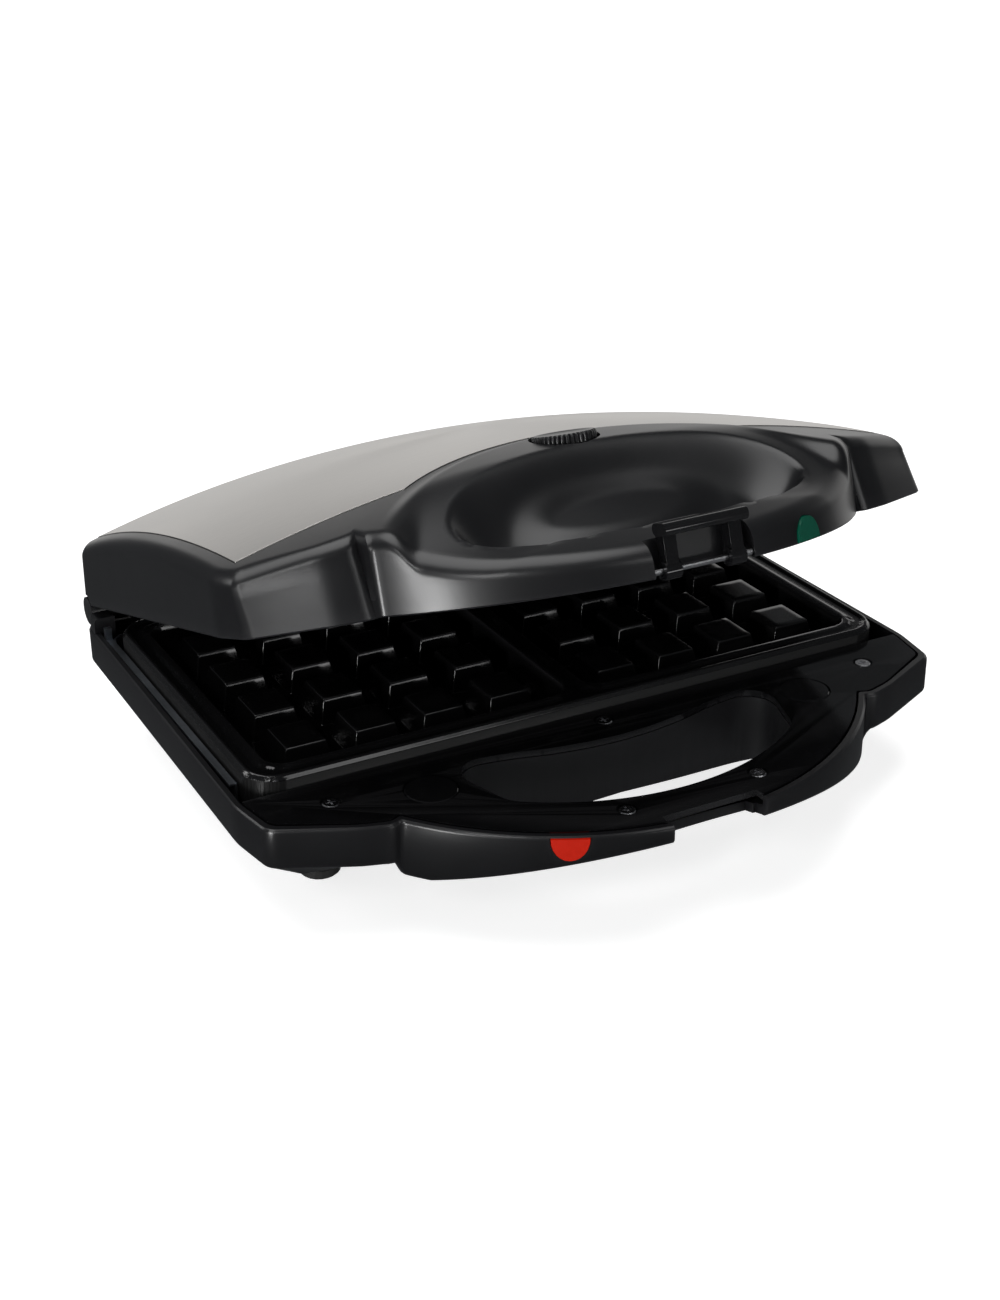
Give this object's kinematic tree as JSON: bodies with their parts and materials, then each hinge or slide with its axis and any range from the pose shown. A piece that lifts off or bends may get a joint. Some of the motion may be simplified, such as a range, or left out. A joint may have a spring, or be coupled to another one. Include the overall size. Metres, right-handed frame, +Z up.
{
  "type": "waffle maker",
  "caption": "Electric two-slice waffle maker with a crowned lid ajar on rear hinges, bow-shaped hand grips, thermostat dial, front latch and lamp windows.",
  "frame": {"origin": "on the table under the middle of the object's footprint", "axes": "+Z up, -Y towards the hand grips at the front, +X to the right seen from the front"},
  "size_m": [0.26, 0.2424, 0.1371],
  "materials": {
    "satin_black_plastic": "satin moulded",
    "gloss_black_plastic": "high gloss",
    "nonstick_cast": "black non-stick coating",
    "stainless_sheet": "satin stainless",
    "bright_sheet": "plain bright sheet",
    "steel": "plated",
    "heater_sheath": "heat-darkened sheath",
    "rubber": "matte",
    "ceramic": "glazed",
    "red_window": "translucent",
    "green_window": "translucent",
    "lamp_glass": "clear"
  },
  "bodies": {
    "base": {"base_housing": "satin_black_plastic", "base_panel": "gloss_black_plastic", "bumper_pad_left": "satin_black_plastic", "bumper_pad_right": "satin_black_plastic", "cord_gland": "rubber", "foot_1": "rubber", "foot_2": "rubber", "foot_3": "rubber", "foot_4": "rubber", "hinge_pin_left": "steel", "hinge_pin_right": "steel", "lower_heater": "heater_sheath", "lower_plate": "nonstick_cast", "lower_tray": "bright_sheet", "panel_screw_1": "steel", "panel_screw_2": "steel", "panel_screw_3": "steel", "panel_screw_4": "steel", "panel_screw_5": "steel", "red_lamp": "lamp_glass", "red_lens": "red_window", "terminal_block": "ceramic", "thermal_fuse": "ceramic"},
    "lid": {"lid_housing": "satin_black_plastic", "lid_inlay": "stainless_sheet", "lid_panel": "satin_black_plastic", "lid_screw_1": "steel", "lid_screw_2": "steel", "lid_screw_3": "steel", "lid_screw_4": "steel", "lid_screw_5": "steel", "upper_plate": "nonstick_cast", "upper_tray": "bright_sheet", "upper_heater": "heater_sheath", "green_lens": "green_window", "green_lamp": "lamp_glass", "thermostat": "ceramic", "latch_pin": "steel"},
    "latch": {"latch_clip": "gloss_black_plastic"},
    "dial": {"thermostat_dial": "satin_black_plastic"}
  },
  "joints": [
    {"name": "lid_hinge", "type": "hinge", "parent": "base", "child": "lid", "pos_m": [0, 0.1104, 0.0461], "axis": [-1, 0, 0], "range_deg": [-17.86, 72.14]},
    {"name": "latch_hinge", "type": "hinge", "parent": "lid", "child": "latch", "pos_m": [0, -0.10402, 0.11887], "axis": [1, 0, 0], "range_deg": [0, 180]},
    {"name": "dial_turn", "type": "hinge", "parent": "lid", "child": "dial", "pos_m": [0, -0.02164, 0.13162], "axis": [0, 0.3067, 0.9518], "range_deg": [-135, 135]}
  ]
}
